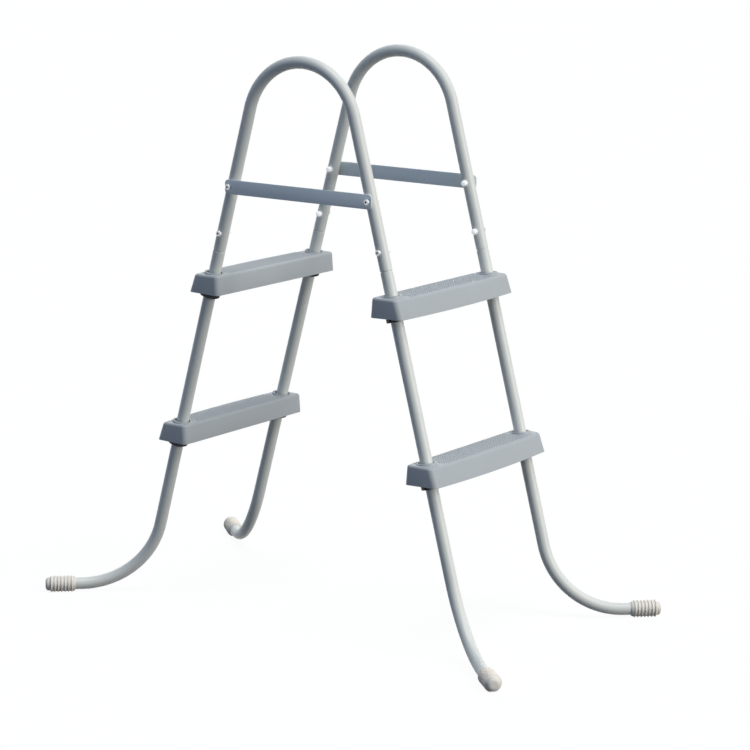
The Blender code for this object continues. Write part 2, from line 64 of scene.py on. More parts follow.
# Fineness of the round shapes
TUBE_SIDES = 48
CAP_SIDES = 96
FITTING_SIDES = 40
ARCH_STEPS = 60
BEND_STEPS = 32
BOW_SEGMENTS = 24
EDGE_SEGMENTS = 5
BAR_SEGMENTS = 2
CROWN_STEPS = 8
RIB_STEPS = 10
NUB_SIDES = 8
SHARP_ANGLE = math.radians(32)
WELD_DISTANCE = 1e-6

# Key recess of a bolt: its sides, its chamfer as a share of its corner radius, the mark that its
# faces carry, and how bright they are beside the rest of the bolt, dark as painted shade
KEY_SIDES = 6
KEY_CHAMFER = 0.06
RECESS_SHADE_MARK = "recess"
RECESS_PAINTED_SHADE = 0.04

# A nub's top radius as a share of its foot's, and the share of its height that is sunk in the tread
NUB_TOP = 0.62
NUB_SINK = 0.125

# Patterns in the finishes: fineness of the drift and of the grain, and swing of the roughness
DRIFT_DETAIL = 3.0
GRAIN_DETAIL = 2.0
GLOSS_SWING = 0.15

# Sizes that others follow from. Round bores of the solids have flat sides, which the tube clears
# in the middle of a side.
FIT_GAP = 0.0003
TUBE_DIAMETER = 0.025
RAIL_SPACING = 0.340
BUSH_WALL = 0.0025
SOCKET_WALL = 0.0045
STEP_END_MARGIN = 0.0105
CAP_WALL = 0.00255
CAP_RIB_HEIGHT = 0.00195
SOLE_FLAT = 0.00075
BORE_SIDES = 12
FLAT_RATIO = math.cos(math.pi / BORE_SIDES)
SLEEVE_RADIUS = (TUBE_DIAMETER / 2 + FIT_GAP) / FLAT_RATIO
SOCKET_BORE = SLEEVE_RADIUS + BUSH_WALL + FIT_GAP
SOCKET_RADIUS = SOCKET_BORE + SOCKET_WALL
STEP_HALF_LENGTH = RAIL_SPACING / 2 + SOCKET_RADIUS + STEP_END_MARGIN
CAP_CORE_RADIUS = SLEEVE_RADIUS + CAP_WALL
FOOT_HEIGHT = (CAP_CORE_RADIUS + CAP_RIB_HEIGHT) * FLAT_RATIO - SOLE_FLAT

# Stage: how far the floor reaches, its roughness, the light that floor and surround give off, the
# lamps as azimuth, elevation, strength and colour, those of them that don't mirror in the treads,
# and the camera as place, azimuth, elevation and roll
FLOOR_REACH = 40.0
FLOOR_ROUGHNESS = 0.9
FLOOR_GLOW = 0.94
FILL_COLOUR, FILL_STRENGTH = "#92C1FF", 0.24
LAMP_SPREAD = 30
LAMPS = {
    "low_key": (280, 12, 1.20, "#FFFBF5"),
    "key": (276, 45, 0.80, "#FFFBF5"),
    "top": (238, 80, 1.05, "#FFFFFF"),
    "back": (48, 12, 2.00, "#FFFFFF"),
}
GLINTLESS_LAMPS = ("back",)
CAMERA_PLACE = (-4.4744, -3.2295, 1.6487)
CAMERA_ANGLES = (-54.698, 11.879, 0.46)
CAMERA_SENSOR = 36.0
CAMERA_LENS = 131.874


def linear(code):
    """Linear colour of an sRGB hex code."""
    channels = [int(code[index : index + 2], 16) / 255 for index in (1, 3, 5)]
    return [c / 12.92 if c <= 0.04045 else ((c + 0.055) / 1.055) ** 2.4 for c in channels]


def length(name, default, description):
    """Property that holds a length in metres."""
    return FloatProperty(
        name=name, description=description, default=default, min=0.0, precision=5, subtype="DISTANCE"
    )


def angle(name, degrees, description):
    """Property that holds an angle."""
    return FloatProperty(
        name=name, description=description, default=math.radians(degrees), subtype="ANGLE"
    )


def colour(name, code, description):
    """Property that holds a colour."""
    return FloatVectorProperty(
        name=name, description=description, default=linear(code), min=0.0, max=1.0, size=3, subtype="COLOR"
    )


class LADDER_PG_tube(bpy.types.PropertyGroup):
    """Steel tube of the handrails and legs."""

    diameter: length("Diameter", TUBE_DIAMETER, "Outside diameter of the tube")
    wall: length("Wall", 0.0012, "Wall of the tube")
    rail_spacing: length("Rail spacing", RAIL_SPACING, "Distance between the axes of the two rails")
    lean: angle("Lean", 15.1, "Lean of the legs from upright")
    seam_height: length("Seam height", 0.749, "Height of the joint between handrail and leg")
    seam_groove: length("Seam groove", 0.0018, "Width of the open line at the joint")
    rim_radius: length("Rim radius", 0.0005, "Rounding of a tube's cut end")
    spigot_length: length("Spigot length", 0.060, "Length of leg inside the handrail")
    arch_height: length("Arch height", 1.008, "Height of the centre of the arch")
    arch_radius: length("Arch radius", 0.132, "Radius of the arch at the tube's axis")
    foot_height: length("Foot height", FOOT_HEIGHT, "Height of the foot's axis")
    bend_radius: length("Bend radius", 0.169, "Radius of the bend above a foot")
    foot_splay: angle("Foot splay", 42.0, "Turn of a foot away from straight out")
    tail: length("Tail", 0.0145, "Straight tube that shows between bend and foot cap")


class LADDER_PG_step(bpy.types.PropertyGroup):
    """Moulded step with two sockets."""

    lower_height: length("Lower tread", 0.378, "Height of the lower tread")
    upper_height: length("Upper tread", 0.699, "Height of the upper tread")
    half_length: length("Half length", STEP_HALF_LENGTH, "Half of the step's length")
    front: length("Front", 0.030, "Leg axis to the front edge of the tread, at the ends")
    back: length("Back", 0.0295, "Leg axis to the back edge of the tread")
    height: length("Height", 0.040, "Height of the step's sides")
    front_flare: length("Front flare", 0.014, "How far the front's foot stands out")
    back_flare: length("Back flare", 0.0025, "How far the back's foot stands out")
    end_flare: length("End flare", 0.001, "How far the foot of an end stands out")
    bow: length("Bow", 0.009, "How far the front bows out at the middle")
    front_lift: length("Front lift", 0.002, "Height of the front's lower edge above the back's")
    wall: length("Wall", 0.0025, "Wall of the moulding")
    edge_radius: length("Edge radius", 0.005, "Rounding of the tread's rim")
    corner_radius: length("Corner radius", 0.010, "Rounding of the upright corners")
    rib_count: IntProperty(name="Ribs", description="Cross ribs under the tread", default=3, min=0)
    rib_thickness: length("Rib thickness", 0.002, "Thickness of a cross rib")
    rib_recess: length("Rib recess", 0.010, "Distance of a rib above the step's lower edge")
    socket_radius: length("Socket radius", SOCKET_RADIUS, "Outside radius of a socket")
    socket_bore: length("Socket bore", SOCKET_BORE, "Radius of a socket's bore")
    collar_rise: length("Collar rise", 0.003, "How far a socket stands above the tread, on its axis")
    collar_tilt: angle("Collar tilt", 7.5, "Tilt of a collar's top to the tread")
    collar_round: length("Collar rounding", 0.0008, "Rounding of a collar's rim")
    nub_pitch: length("Nub pitch", 0.0066, "Spacing of the non-slip nubs along a row")
    nub_row: length("Nub row", 0.0060, "Spacing of the rows of nubs")
    nub_radius: length("Nub radius", 0.0021, "Radius of a nub at its foot")
    nub_height: length("Nub height", 0.0015, "Height of a nub")
    nub_margin: length("Nub margin", 0.0080, "Plain band between the nubs and the tread's long edges")
    nub_clearance: length("Nub clearance", 0.0035, "Plain band between the nubs and a collar")


class LADDER_PG_fittings(bpy.types.PropertyGroup):
    """Bolts, cap nuts, brace bars and step bushes."""

    joint_bolt_height: length("Joint bolt height", 0.785, "Height of the bolts at the tube joints")
    brace_bolt_height: length("Brace bolt height", 0.882, "Height of the bolts at the brace bars")
    bolt_radius: length("Bolt radius", 0.003, "Radius of a bolt's shank")
    head_radius: length("Head radius", 0.00635, "Radius of a bolt's head")
    head_height: length("Head height", 0.0055, "Height of a bolt's head")
    head_rim: length("Head rim", 0.002, "Upright edge of a bolt's head")
    head_flat: length("Head flat", 0.0032, "Radius of the flat on top of a bolt's head")
    key_width: length("Key width", 0.004, "Width of the hexagon recess across flats")
    key_depth: length("Key depth", 0.003, "Depth of the hexagon recess")
    engagement: length("Engagement", 0.0055, "Length of bolt that stands out of the tube")
    nut_radius: length("Nut radius", 0.0058, "Radius of a cap nut")
    nut_height: length("Nut height", 0.0100, "Height of a cap nut above the tube")
    nut_rim: length("Nut rim", 0.0055, "Height of a cap nut's upright edge")
    bar_width: length("Bar width", 0.029, "Width of a brace bar")
    bar_thickness: length("Bar thickness", 0.0025, "Thickness of a brace bar")
    bar_margin: length("Bar margin", 0.0095, "Length of bar beyond the bolt's axis")
    bar_corner: length("Bar corner", 0.008, "Radius of a brace bar's corners")
    bar_edge: length("Bar edge", 0.0004, "Rounding of a brace bar's edges")
    bush_depth: length("Bush depth", 0.022, "Length of bush inside the socket")
    flange: length("Flange", 0.007, "Thickness of a bush's flange")
    flange_round: length("Flange rounding", 0.0008, "Rounding of a bush's flange")
    bush_slot: length("Bush slot", 0.003, "Width of a bush's slot")


class LADDER_PG_foot(bpy.types.PropertyGroup):
    """Ribbed foot cap."""

    core_radius: length("Core radius", CAP_CORE_RADIUS, "Outside radius between the ribs")
    bore_radius: length("Bore radius", TUBE_DIAMETER / 2 + FIT_GAP, "Radius of the bore")
    lip: length("Lip", 0.0035, "Plain length at the mouth")
    lip_taper: length("Lip taper", 0.0016, "How far the mouth is drawn in from the core")
    rib_count: IntProperty(name="Ribs", description="Ribs round a cap", default=7, min=0)
    rib_pitch: length("Rib pitch", 0.0072, "Spacing of the ribs")
    rib_height: length("Rib height", CAP_RIB_HEIGHT, "Height of a rib")
    rib_foot: length("Rib foot", 0.0024, "Thickness of a rib at its foot")
    rib_crest: length("Rib crest", 0.0016, "Thickness of a rib at its rounded crest")
    nose: length("Nose", 0.0085, "Length of the smooth nose")
    nose_flat: length("Nose flat", 0.0055, "Radius of the flat at the nose's end")
    nose_rim: length("Nose rim", 0.0026, "Straight length of the nose")
    nose_step: length("Nose step", 0.0020, "How far the nose is drawn in from the core")
    end_wall: length("End wall", 0.015, "Thickness of the closed end")


class LADDER_PG_finishes(bpy.types.PropertyGroup):
    """Colours of the ladder and its stage."""

    tube: colour("Tube", "#EDEEE4", "Powder coat on the tube")
    step: colour("Step", "#B9BEBE", "Moulded steps")
    # The brace bar paint has a cool blue tint of painted light, for the blue shade on the bars' faces.
    bar: colour("Brace bar", "#E8F2F4", "Paint on the brace bars")
    zinc: colour("Bolt", "#B6BABE", "Zinc plate on the bolts")
    nut: colour("Cap nut", "#FBFBFA", "Moulded cap nuts")
    # The bushes' near black is partly painted shade, for the shadow under the step.
    bush: colour("Bush", "#111317", "Moulded step bushes")
    cap: colour("Foot cap", "#F6EFE1", "Soft foot caps")
    floor: colour("Floor", "#4C4C4C", "Floor of the stage under the lamps")


GROUPS = {
    "ladder_tube": LADDER_PG_tube,
    "ladder_step": LADDER_PG_step,
    "ladder_fittings": LADDER_PG_fittings,
    "ladder_foot": LADDER_PG_foot,
    "ladder_finishes": LADDER_PG_finishes,
}


def socket(sockets, key):
    """Socket of a node by its name, or by its identifier where several share a name."""
    return next(found for found in sockets if key in (found.name, found.identifier))


def add_node(tree, kind, values=None, links=None, **settings):
    """Add a shader node with its settings, the values of its sockets and the links into them."""
    node = tree.nodes.new(kind)
    for key, value in settings.items():
        setattr(node, key, value)
    for key, value in (values or {}).items():
        socket(node.inputs, key).default_value = value
    for key, source in (links or {}).items():
        tree.links.new(source, socket(node.inputs, key))
    return node


def shade(base, factor):
    """A colour made lighter or darker, with full opacity."""
    return [min(1.0, channel * factor) for channel in base] + [1.0]


def surface(name, base, roughness, cloud_mm, cloud, grain_mm, depth_mm, **sockets):
    """Make a finish with a slow drift of tone, a fine grain and a drift of gloss that follows the grain.

    The drift and the grain are given by the size of their patches in millimetres, the drift also by
    its share of the tone and the grain by its depth.
    """
    finish = bpy.data.materials.new(name)
    finish.use_nodes = True
    tree = finish.node_tree
    shader = tree.nodes["Principled BSDF"]
    for key, value in sockets.items():
        shader.inputs[key.replace("_", " ")].default_value = value
    place = add_node(tree, "ShaderNodeTexCoord").outputs["Object"]
    drift = add_node(
        tree,
        "ShaderNodeTexNoise",
        {"Scale": 1 / (cloud_mm * MILLIMETRE), "Detail": DRIFT_DETAIL},
        {"Vector": place},
    )
    grain = add_node(
        tree,
        "ShaderNodeTexNoise",
        {"Scale": 1 / (grain_mm * MILLIMETRE), "Detail": GRAIN_DETAIL},
        {"Vector": place},
    )
    tone = add_node(
        tree,
        "ShaderNodeMix",
        {"A_Color": shade(base, 1 - cloud), "B_Color": shade(base, 1 + cloud)},
        {"Factor_Float": drift.outputs["Fac"]},
        data_type="RGBA",
    )
    gloss = add_node(
        tree,
        "ShaderNodeMapRange",
        {"To Min": roughness * (1 - GLOSS_SWING), "To Max": roughness * (1 + GLOSS_SWING)},
        {"Value": grain.outputs["Fac"]},
    )
    relief = add_node(
        tree, "ShaderNodeBump", {"Distance": depth_mm * MILLIMETRE}, {"Height": grain.outputs["Fac"]}
    )
    tree.links.new(socket(tone.outputs, "Result_Color"), shader.inputs["Base Color"])
    tree.links.new(gloss.outputs["Result"], shader.inputs["Roughness"])
    tree.links.new(relief.outputs["Normal"], shader.inputs["Normal"])
    return finish


def powder_coated_steel(name, colours):
    # An even light grey with a soft gloss. A faint orange peel breaks up the long highlights.
    return surface(
        name,
        colours.tube,
        roughness=0.32,
        cloud_mm=140,
        cloud=0.03,
        grain_mm=3.0,
        depth_mm=0.02,
        IOR=1.5,
        Specular_IOR_Level=0.42,
    )


def moulded_polypropylene(name, colours):
    # Matt, with slight flow marks and the sparked grain of its mould. The grain is drawn coarser
    # than the real one, so that it shows.
    return surface(
        name,
        colours.step,
        roughness=0.45,
        cloud_mm=55,
        cloud=0.035,
        grain_mm=1.1,
        depth_mm=0.045,
        IOR=1.49,
        Specular_IOR_Level=0.3,
    )


def painted_steel_strip(name, colours):
    # Satin and flat, a little uneven along its length. Its cool blue tint is painted light, for the blue
    # shade on its faces.
    return surface(
        name,
        colours.bar,
        roughness=0.45,
        cloud_mm=70,
        cloud=0.035,
        grain_mm=2.2,
        depth_mm=0.02,
        IOR=1.5,
        Specular_IOR_Level=0.8,
    )


def zinc_plated_steel(name, colours):
    # Bright metal with a soft bloom, so that the dome shows a broad highlight. The key recess is
    # painted with shade: near black, for the shadow that falls in it.
    finish = surface(
        name,
        colours.zinc,
        roughness=0.38,
        cloud_mm=4,
        cloud=0.08,
        grain_mm=1.0,
        depth_mm=0.01,
        Metallic=1.0,
    )
    tree = finish.node_tree
    shader = tree.nodes["Principled BSDF"]
    bright = shader.inputs["Base Color"].links[0].from_socket
    recess = add_node(tree, "ShaderNodeAttribute", attribute_name=RECESS_SHADE_MARK)
    # Painted shade: the marked recess faces are mixed to near black.
    painted_shade = add_node(
        tree,
        "ShaderNodeMix",
        {"B_Color": shade(colours.zinc, RECESS_PAINTED_SHADE)},
        {"Factor_Float": recess.outputs["Fac"], "A_Color": bright},
        data_type="RGBA",
    )
    tree.links.new(socket(painted_shade.outputs, "Result_Color"), shader.inputs["Base Color"])
    return finish


def moulded_polyethylene(name, colours):
    # Clean waxy white. Light spreads inside it, and a weak glow of painted light stands in for what it
    # scatters, so that its shaded side stays pale. The glow isn't sampled as a lamp.
    finish = surface(
        name,
        colours.nut,
        roughness=0.22,
        cloud_mm=8,
        cloud=0.02,
        grain_mm=1.4,
        depth_mm=0.005,
        IOR=1.54,
        Coat_Weight=0.5,
        Subsurface_Weight=1.0,
        Subsurface_Radius=(1.0, 1.0, 1.0),
        Subsurface_Scale=0.02,
        Emission_Color=WHITE,
        Emission_Strength=0.3,
    )
    finish.cycles.emission_sampling = "NONE"
    return finish


def moulded_nylon(name, colours):
    # Near black and satin, so that the ring reads as a dark line. Part of that dark is painted shade, for
    # the shadow under the step.
    return surface(
        name,
        colours.bush,
        roughness=0.5,
        cloud_mm=10,
        cloud=0.06,
        grain_mm=1.2,
        depth_mm=0.02,
        IOR=1.53,
        Specular_IOR_Level=0.25,
    )


def soft_vinyl(name, colours):
    # Cream and matt, slightly uneven, with a faint grain.
    return surface(
        name,
        colours.cap,
        roughness=0.55,
        cloud_mm=18,
        cloud=0.035,
        grain_mm=1.3,
        depth_mm=0.03,
        IOR=1.53,
    )


FINISHES = {
    "tube_paint": powder_coated_steel,
    "step_plastic": moulded_polypropylene,
    "brace_paint": painted_steel_strip,
    "bolt_zinc": zinc_plated_steel,
    "nut_plastic": moulded_polyethylene,
    "bush_plastic": moulded_nylon,
    "cap_plastic": soft_vinyl,
}


def finish_for(context, slot):
    """Finish of a material slot, made the first time that a piece asks for it."""
    make = FINISHES[slot]
    return bpy.data.materials.get(make.__name__) or make(make.__name__, context.scene.ladder_finishes)


def to_mesh(name, shape):
    """Close up a working shape, point its faces outwards and return it as a mesh."""
    bmesh.ops.remove_doubles(shape, verts=shape.verts, dist=WELD_DISTANCE)
    bmesh.ops.recalc_face_normals(shape, faces=shape.faces)
    mesh = bpy.data.meshes.new(name)
    shape.to_mesh(mesh)
    shape.free()
    return mesh


def show(context, name, mesh, slot, body, node):
    """Show a mesh as a piece that rides on a body and stands for a node."""
    mesh.materials.clear()
    mesh.materials.append(finish_for(context, slot))
    mesh.shade_smooth()
    mesh.set_sharp_from_angle(angle=SHARP_ANGLE)
    piece = bpy.data.objects.new(name, mesh)
    context.scene.collection.objects.link(piece)
    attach(piece, body)
    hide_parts(node)
    return piece


def placed(mesh, place):
    """Copy of a mesh with a place given to its points."""
    copy = mesh.copy()
    copy.transform(place)
    return copy


def facing(row):
    """Turn of a piece made for the outer row to a row."""
    return Matrix.Rotation(0 if row == OUTER else math.pi, 4, "Z")


def tread_heights(step):
    """Height of the tread at each level."""
    return {"lower": step.lower_height, "upper": step.upper_height}


def arch_end(tube):
    """Height at which the arch runs into its straight sides."""
    return tube.arch_height + tube.arch_radius * math.sin(tube.lean)


def leg_offset(tube, height):
    """Distance of a leg's axis from the middle plane at a height."""
    return tube.arch_radius * math.cos(tube.lean) + (arch_end(tube) - height) * math.tan(tube.lean)


def on_rail(tube, row, hand, height):
    """Place on a rail's axis: local Z runs up the tube and local X away from the ladder's middle."""
    place = Vector((hand * tube.rail_spacing / 2, row * leg_offset(tube, height), height))
    turn = Euler((row * hand * tube.lean, 0, 0 if hand == RIGHT else math.pi))
    return Matrix.Translation(place) @ turn.to_matrix().to_4x4()


def up_leg(tube):
    """Direction up an outer leg."""
    return Vector((0, math.sin(tube.lean), math.cos(tube.lean)))


def foot_direction(tube, row, hand):
    """Direction in which a foot points."""
    return Vector((hand * math.sin(tube.foot_splay), row * math.cos(tube.foot_splay), 0))


def start_loop(shape, centre, along, radius):
    """Start a tube with a loop of edges across its axis."""
    turn = along.to_track_quat("Z", "X").to_matrix().to_4x4()
    made = bmesh.ops.create_circle(
        shape, segments=TUBE_SIDES, radius=radius, matrix=Matrix.Translation(centre) @ turn
    )
    return list({edge for vertex in made["verts"] for edge in vertex.link_edges})


def loop_points(loop):
    """Points of a loop of edges."""
    return list({vertex for edge in loop for vertex in edge.verts})


def run_on(shape, loop, shift, grow=0.0):
    """Carry a loop on by a shift, with its radius grown, and return the new loop."""
    made = bmesh.ops.extrude_edge_only(shape, edges=loop)
    points = [part for part in made["geom"] if isinstance(part, bmesh.types.BMVert)]
    bmesh.ops.translate(shape, verts=points, vec=shift)
    centre = sum((point.co for point in points), Vector()) / len(points)
    radius = (points[0].co - centre).length
    scale = (radius + grow) / radius
    bmesh.ops.scale(shape, verts=points, vec=(scale, scale, scale), space=Matrix.Translation(-centre))
    return [part for part in made["geom"] if isinstance(part, bmesh.types.BMEdge) and part.is_boundary]


def round_rim(shape, loop, along, radius, opening):
    """Round a tube's end: outwards in radius where it opens, inwards where it closes."""
    steps = EDGE_SEGMENTS - 1
    turns = [math.pi / 2 * index / steps for index in range(steps + 1)]
    for before, after in zip(turns, turns[1:]):
        if opening:
            shift = radius * (math.cos(before) - math.cos(after))
            grow = radius * (math.sin(after) - math.sin(before))
        else:
            shift = radius * (math.sin(after) - math.sin(before))
            grow = radius * (math.cos(after) - math.cos(before))
        loop = run_on(shape, loop, along * shift, grow)
    return loop


def straight_run(shape, loop, along, distance, hold):
    """Carry a loop straight on, held by extra loops near both ends so that roundings there stay short."""
    for part in (hold, distance - 2 * hold, hold):
        loop = run_on(shape, loop, along * part)
    return loop


def bend(shape, loop, centre, axis, sweep, steps):
    """Carry a loop round a bend and return the new loop."""
    made = bmesh.ops.spin(
        shape, geom=loop + loop_points(loop), cent=centre, axis=axis, angle=sweep, steps=steps
    )
    return [part for part in made["geom_last"] if isinstance(part, bmesh.types.BMEdge)]


def add_wall(piece, thickness):
    """Give an open skin a wall on its inner side."""
    wall = piece.modifiers.new("wall", "SOLIDIFY")
    wall.thickness = thickness
    wall.offset = -1.0
    wall.use_even_offset = True


def handrail_mesh(tube):
    """Arch of tube in the middle plane, with rounded cut ends."""
    radius = tube.diameter / 2
    rim = tube.rim_radius
    up = up_leg(tube)
    down = Vector((0, up.y, -up.z))
    start = Vector((0, -leg_offset(tube, tube.seam_height), tube.seam_height))
    straight = (arch_end(tube) - tube.seam_height) / math.cos(tube.lean)
    shape = bmesh.new()
    loop = start_loop(shape, start, up, radius - rim)
    loop = round_rim(shape, loop, up, rim, True)
    loop = straight_run(shape, loop, up, straight - rim, rim)
    centre = Vector((0, 0, tube.arch_height))
    loop = bend(shape, loop, centre, Vector((-1, 0, 0)), math.pi - 2 * tube.lean, ARCH_STEPS)
    loop = straight_run(shape, loop, down, straight - rim, rim)
    round_rim(shape, loop, down, rim, False)
    return to_mesh("handrail", shape)


def cap_length(foot):
    """Length of a foot cap from its mouth to its nose."""
    return foot.lip + foot.rib_count * foot.rib_pitch + foot.nose


def leg_mesh(tube, foot, hand):
    """Outer leg of one rail in the middle plane: spigot, straight tube, bend and tail."""
    radius = tube.diameter / 2
    rim = tube.rim_radius
    spigot = radius - tube.wall - FIT_GAP
    down = -up_leg(tube)
    out = foot_direction(tube, OUTER, hand)
    sweep = down.angle(out)
    across = (out - down * down.dot(out)).normalized()
    corner = Vector((0, -leg_offset(tube, tube.foot_height), tube.foot_height))
    bend_start = corner - down * tube.bend_radius * math.tan(sweep / 2)
    seam = Vector((0, -leg_offset(tube, tube.seam_height), tube.seam_height))
    cap_depth = cap_length(foot) - foot.end_wall
    shape = bmesh.new()
    loop = start_loop(shape, seam - down * tube.spigot_length, down, spigot)
    loop = run_on(shape, loop, down * (tube.spigot_length + tube.seam_groove))
    loop = run_on(shape, loop, down * FIT_GAP, radius - rim - spigot)
    loop = round_rim(shape, loop, down, rim, True)
    start = sum((point.co for point in loop_points(loop)), Vector()) / TUBE_SIDES
    loop = straight_run(shape, loop, down, (bend_start - start).length, rim)
    centre = bend_start + across * tube.bend_radius
    loop = bend(shape, loop, centre, down.cross(across), sweep, BEND_STEPS)
    loop = straight_run(shape, loop, out, tube.tail + cap_depth - FIT_GAP - rim, rim)
    round_rim(shape, loop, out, rim, False)
    return to_mesh(f"leg_{HANDS[hand]}", shape)


def spun(profile, sides, sweep=2 * math.pi):
    """Turn a profile of (radius, height) points about Z. A part turn of a closed outline is capped."""
    shape = bmesh.new()
    points = [shape.verts.new((radius, 0, height)) for radius, height in profile]
    geometry = list(points)
    full = sweep >= 2 * math.pi
    if full:
        geometry += [shape.edges.new(pair) for pair in zip(points, points[1:])]
    else:
        face = shape.faces.new(points)
        geometry += list(face.edges) + [face]
    bmesh.ops.spin(
        shape, geom=geometry, cent=(0, 0, 0), axis=(0, 0, 1), angle=sweep, steps=sides, use_merge=full
    )
    return shape


def crown(radius, flat, rim, height, seat=0.0):
    """Points down a rounded crown on its seat, from the edge of its flat top to the edge of its rim."""
    turns = [math.pi / 2 * index / CROWN_STEPS for index in range(CROWN_STEPS + 1)]
    return [
        (flat + (radius - flat) * math.sin(turn), seat + rim + (height - rim) * math.cos(turn))
        for turn in turns
    ]


def along_x(way=1):
    """Turn from Z to X, or to -X."""
    return Matrix.Rotation(way * math.pi / 2, 4, "Y")


def bolt_mesh(tube, fittings, seat):
    """Button head bolt along X whose head seats at a distance from the tube's axis."""
    top = seat + fittings.head_height
    tip = -(tube.diameter / 2 + fittings.engagement)
    key_corner = fittings.key_width / 2 / math.cos(math.pi / KEY_SIDES)
    chamfer = key_corner * KEY_CHAMFER
    profile = [(key_corner + chamfer, top)]
    profile += crown(
        fittings.head_radius, fittings.head_flat, fittings.head_rim, fittings.head_height, seat
    )
    profile += [(fittings.head_radius, seat), (fittings.bolt_radius, seat)]
    profile += [(fittings.bolt_radius, tip), (0, tip)]
    shape = spun(profile, FITTING_SIDES)
    bmesh.ops.remove_doubles(shape, verts=shape.verts, dist=WELD_DISTANCE)
    rim = [edge for edge in shape.edges if edge.is_boundary]
    recess = bmesh.ops.create_circle(
        shape, segments=KEY_SIDES, radius=key_corner, matrix=Matrix.Translation((0, 0, top - chamfer))
    )
    hexagon = list({edge for vertex in recess["verts"] for edge in vertex.link_edges})
    bmesh.ops.bridge_loops(shape, edges=rim + hexagon)
    floor = run_on(shape, hexagon, Vector((0, 0, -fittings.key_depth)))
    bmesh.ops.contextual_create(shape, geom=floor)
    # Faces in the key recess are marked to take painted shade.
    shade_marked = shape.faces.layers.float.new(RECESS_SHADE_MARK)
    for face in shape.faces:
        middle = face.calc_center_median()
        face[shade_marked] = float(seat < middle.z < top - chamfer and middle.xy.length < key_corner)
    mesh = to_mesh("bolt", shape)
    mesh.transform(along_x())
    return mesh


def nut_mesh(tube, fittings):
    """Dome cap nut along -X that sits on the tube."""
    seat = tube.diameter / 2
    skirt = math.sqrt(seat**2 - fittings.nut_radius**2)
    profile = [(0, seat + fittings.nut_height)]
    profile += crown(fittings.nut_radius, 0.0, fittings.nut_rim, fittings.nut_height, seat)[1:]
    profile += [(fittings.nut_radius, skirt), (0, skirt)]
    mesh = to_mesh("cap_nut", spun(profile, FITTING_SIDES))
    mesh.transform(along_x(-1))
    return mesh


def bush_mesh(tube, step, fittings):
    """Split flanged bush along a leg, with its step's tread at the origin's height."""
    inside = tube.diameter / 2 + FIT_GAP
    outside = step.socket_bore - FIT_GAP
    flange_top = -step.height / math.cos(tube.lean) - FIT_GAP
    top = flange_top + fittings.bush_depth
    bottom = flange_top - fittings.flange
    soft = fittings.flange_round
    wide = step.socket_radius
    profile = [
        (inside, top),
        (outside, top),
        (outside, flange_top),
        (wide - soft, flange_top),
        (wide, flange_top - soft),
        (wide, bottom + soft),
        (wide - soft, bottom),
        (inside, bottom),
    ]
    slot = fittings.bush_slot / ((inside + wide) / 2)
    shape = spun(profile, FITTING_SIDES, 2 * math.pi - slot)
    bmesh.ops.rotate(shape, verts=shape.verts, matrix=Matrix.Rotation(slot / 2, 3, "Z"))
    return to_mesh("bush", shape)


def round_edges(shape, edges, radius, segments):
    """Round some edges of a working shape."""
    bmesh.ops.bevel(
        shape, geom=edges, offset=radius, segments=segments, profile=0.5, affect="EDGES", material=-1
    )


def bar_mesh(tube, fittings):
    """Flat brace bar with rounded corners and softened edges."""
    offset = leg_offset(tube, fittings.brace_bolt_height)
    size = Vector((fittings.bar_thickness, 2 * (offset + fittings.bar_margin), fittings.bar_width))
    shape = bmesh.new()
    bmesh.ops.create_cube(shape, size=1.0, matrix=Matrix.LocRotScale(None, None, size))
    corners = [edge for edge in shape.edges if edge.verts[0].co.x != edge.verts[1].co.x]
    round_edges(shape, corners, fittings.bar_corner, CROWN_STEPS)
    rims = [edge for edge in shape.edges if edge.verts[0].co.x == edge.verts[1].co.x]
    round_edges(shape, rims, fittings.bar_edge, BAR_SEGMENTS)
    return to_mesh("brace_bar", shape)


def step_outline(step, along, depth):
    """Distances of a step's front and back from the leg's axis, at a place and a depth."""
    flare = depth / step.height
    bow = step.bow * (1 - (along / step.half_length) ** 2)
    return step.front + step.front_flare * flare + bow, step.back + step.back_flare * flare


def step_skin(step):
    """Skin of a step, open underneath, with its corners and its rim rounded."""
    shape = bmesh.new()
    size = Vector((2 * step.half_length, step.front, step.height))
    low = Matrix.Translation((0, 0, -step.height / 2))
    bmesh.ops.create_cube(shape, size=1.0, matrix=low @ Matrix.LocRotScale(None, None, size))
    corners = [edge for edge in shape.edges if edge.verts[0].co.z != edge.verts[1].co.z]
    lengthwise = [edge for edge in shape.edges if edge.verts[0].co.x != edge.verts[1].co.x]
    bmesh.ops.subdivide_edges(shape, edges=lengthwise, cuts=BOW_SEGMENTS - 1, use_grid_fill=True)
    middle = -step.height / 2
    underside = [face for face in shape.faces if all(point.co.z < middle for point in face.verts)]
    bmesh.ops.delete(shape, geom=underside, context="FACES")
    for point in shape.verts:
        in_front = point.co.y < 0
        depth = step.height - step.front_lift if in_front else step.height
        if point.co.z > middle:
            depth = 0.0
        taper = 1 - step.end_flare / step.half_length * (1 - depth / step.height)
        along = point.co.x * taper
        front, back = step_outline(step, along, depth)
        point.co = (along, -front if in_front else back, -depth)
    round_edges(shape, corners, step.corner_radius, CROWN_STEPS)
    tread = [face for face in shape.faces if all(point.co.z > -WELD_DISTANCE for point in face.verts)]
    edges = [edge for face in tread for edge in face.edges]
    rim = [edge for edge in edges if not all(face in tread for face in edge.link_faces)]
    round_edges(shape, rim, step.edge_radius, EDGE_SEGMENTS)
    return shape


def socket_tool(tube, step, hand, profile):
    """Round bar along a leg's axis, with its top at the collar's tilt to the tread."""
    shape = spun(profile, TUBE_SIDES)
    slope = math.tan(tube.lean - step.collar_tilt)
    for point in shape.verts:
        if point.co.z > 0:
            point.co.z += slope * point.co.y
    lean = Matrix.Rotation(-tube.lean, 4, "X")
    place = Matrix.Translation((hand * tube.rail_spacing / 2, 0, 0))
    bmesh.ops.transform(shape, verts=shape.verts, matrix=place @ lean)
    return to_mesh("socket", shape)


